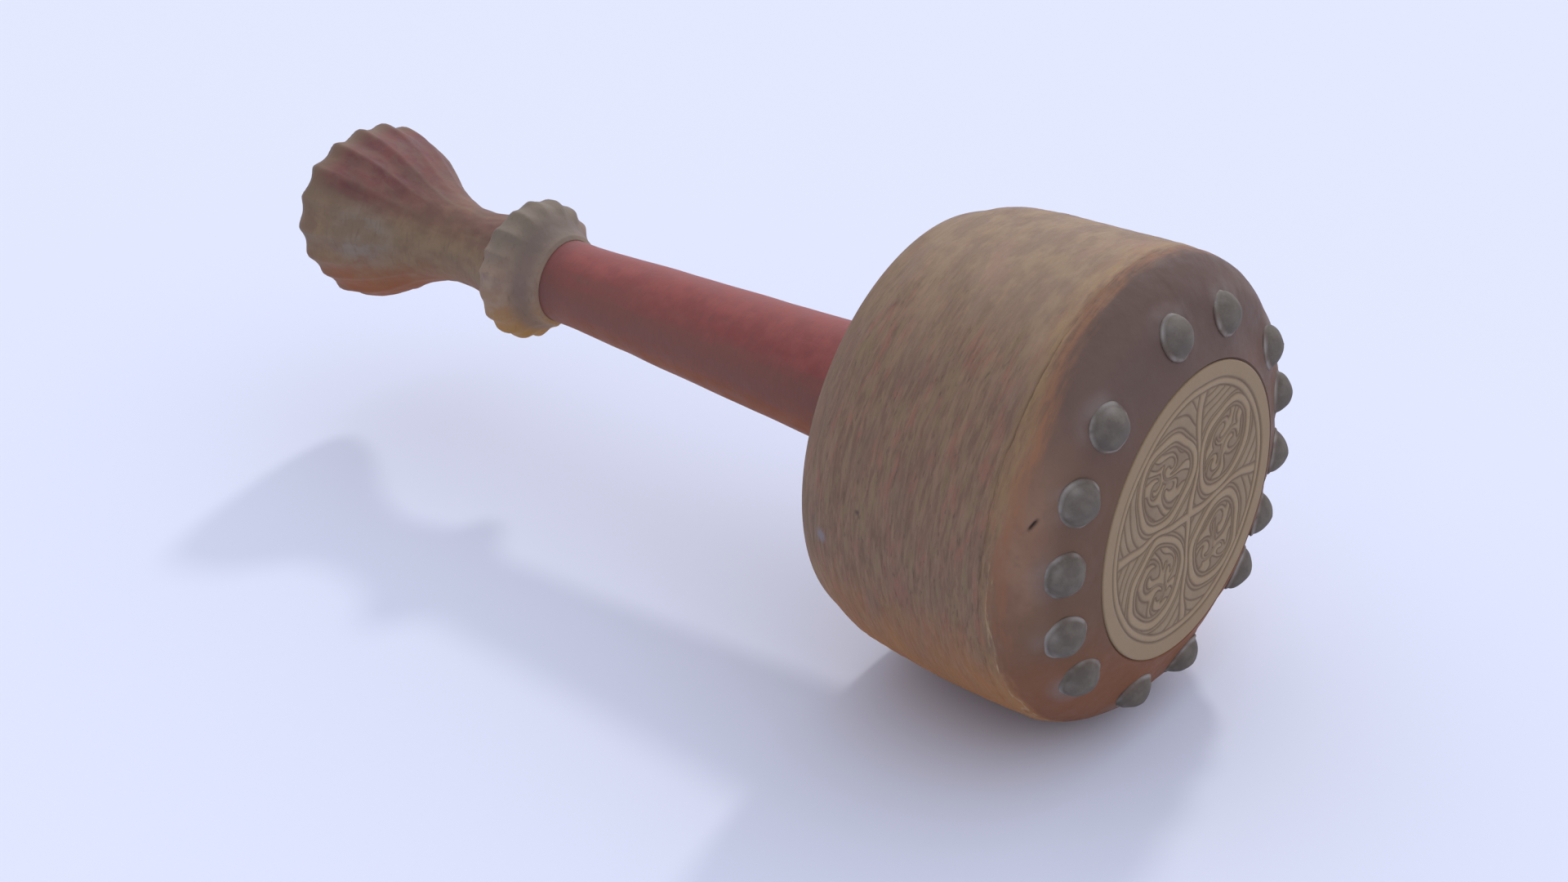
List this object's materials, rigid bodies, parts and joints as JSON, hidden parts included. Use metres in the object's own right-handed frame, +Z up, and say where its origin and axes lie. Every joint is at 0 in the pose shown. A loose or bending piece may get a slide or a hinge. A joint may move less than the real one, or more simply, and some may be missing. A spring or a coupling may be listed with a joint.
{
  "type": "handled hand drum",
  "caption": "Hand drum with a short barrel head, studded hide face with an ornamented patch, tapered red grip, fluted collar and fluted pommel.",
  "frame": {"origin": "under the middle of the drum's length, on the surface that the barrel lies on", "axes": "+X out of the drum's face along the handle's line, +Y across, +Z up"},
  "size_m": [0.3304, 0.1414, 0.1414],
  "materials": {
    "hide": "dark brown hide, dull sheen, redder towards the floor, yellow-brown cut edge",
    "patch_hide": "pale rawhide, matte, with tooled grooves gone dark",
    "head_wood": "weathered brown bentwood with fine streaks round the barrel, satin",
    "inner_wood": "bare unfinished wood",
    "grip_wood": "red paint on turned wood, satin, worn browner below",
    "collar_wood": "bare grey-brown wood, satin",
    "pommel_wood": "red paint worn through to tan wood along the flutes",
    "stud_iron": "dull grey-green iron with paler rubbed edges"
  },
  "bodies": {
    "root": {"drum_skin": "hide", "ornament_patch": "patch_hide", "shoulder_ring": "inner_wood", "shell_hoop": "head_wood", "back_board": "head_wood", "hub_block": "inner_wood", "grip": "grip_wood", "tenon_wedge": "inner_wood", "collar": "collar_wood", "pommel": "pommel_wood", "stud_01": "stud_iron", "stud_02": "stud_iron", "stud_03": "stud_iron", "stud_04": "stud_iron", "stud_05": "stud_iron", "stud_06": "stud_iron", "stud_07": "stud_iron", "stud_08": "stud_iron", "stud_09": "stud_iron", "stud_10": "stud_iron", "stud_11": "stud_iron", "stud_12": "stud_iron", "stud_13": "stud_iron", "stud_14": "stud_iron"}
  },
  "joints": []
}
